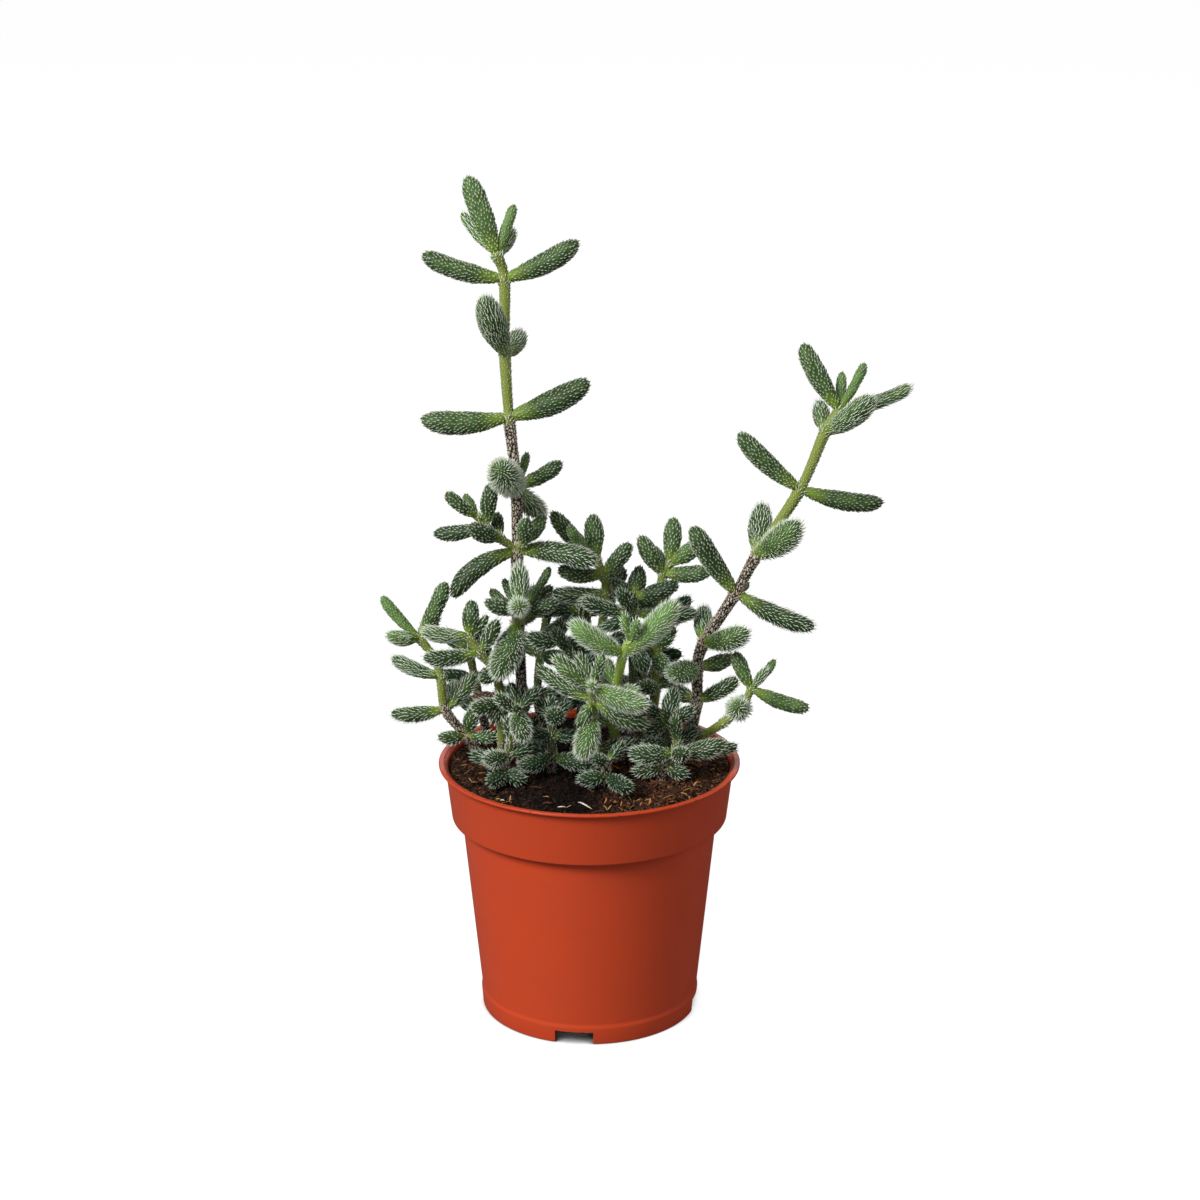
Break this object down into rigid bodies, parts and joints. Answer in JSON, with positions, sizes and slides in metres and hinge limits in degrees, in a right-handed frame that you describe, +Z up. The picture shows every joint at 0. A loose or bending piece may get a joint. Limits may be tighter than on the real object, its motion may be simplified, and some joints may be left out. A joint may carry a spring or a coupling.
{
  "type": "potted pickle plant",
  "caption": "Bristly succulent with plump green leaves on upright and leaning stems, standing in soil in a round plastic nursery pot.",
  "frame": {"origin": "on the surface that the pot stands on, under the middle of the whole plant's spread; the middle of the pot's foot is 16 mm from it towards -X", "axes": "+Z up along the pot's axis, -Y the front that the picture shows, +X to the viewer's right, where the long stem leans"},
  "size_m": [0.154, 0.09, 0.252],
  "materials": {
    "pot_plastic": "satin orange terracotta coloured plastic",
    "peat_soil": "moist crumbly peat",
    "leafy_stem": "soft green leaf with white bristles"
  },
  "bodies": {
    "root": {"pot": "pot_plastic", "soil": "peat_soil", "tall_left_stem": "leafy_stem", "tall_right_stem": "leafy_stem", "left_low_stem": "leafy_stem", "left_middle_stem": "leafy_stem", "centre_bright_stem": "leafy_stem", "back_left_stem": "leafy_stem", "back_right_stem": "leafy_stem", "front_right_stem": "leafy_stem", "low_middle_stem": "leafy_stem", "centre_low_stem": "leafy_stem", "front_centre_stem": "leafy_stem", "front_left_stem": "leafy_stem", "front_left_upper_stem": "leafy_stem", "right_front_stem": "leafy_stem", "low_right_stem": "leafy_stem", "centre_back_stem": "leafy_stem", "middle_stem": "leafy_stem", "rear_left_stem": "leafy_stem", "rear_middle_stem": "leafy_stem", "rear_right_stem": "leafy_stem", "rear_side_stem": "leafy_stem"}
  },
  "joints": []
}
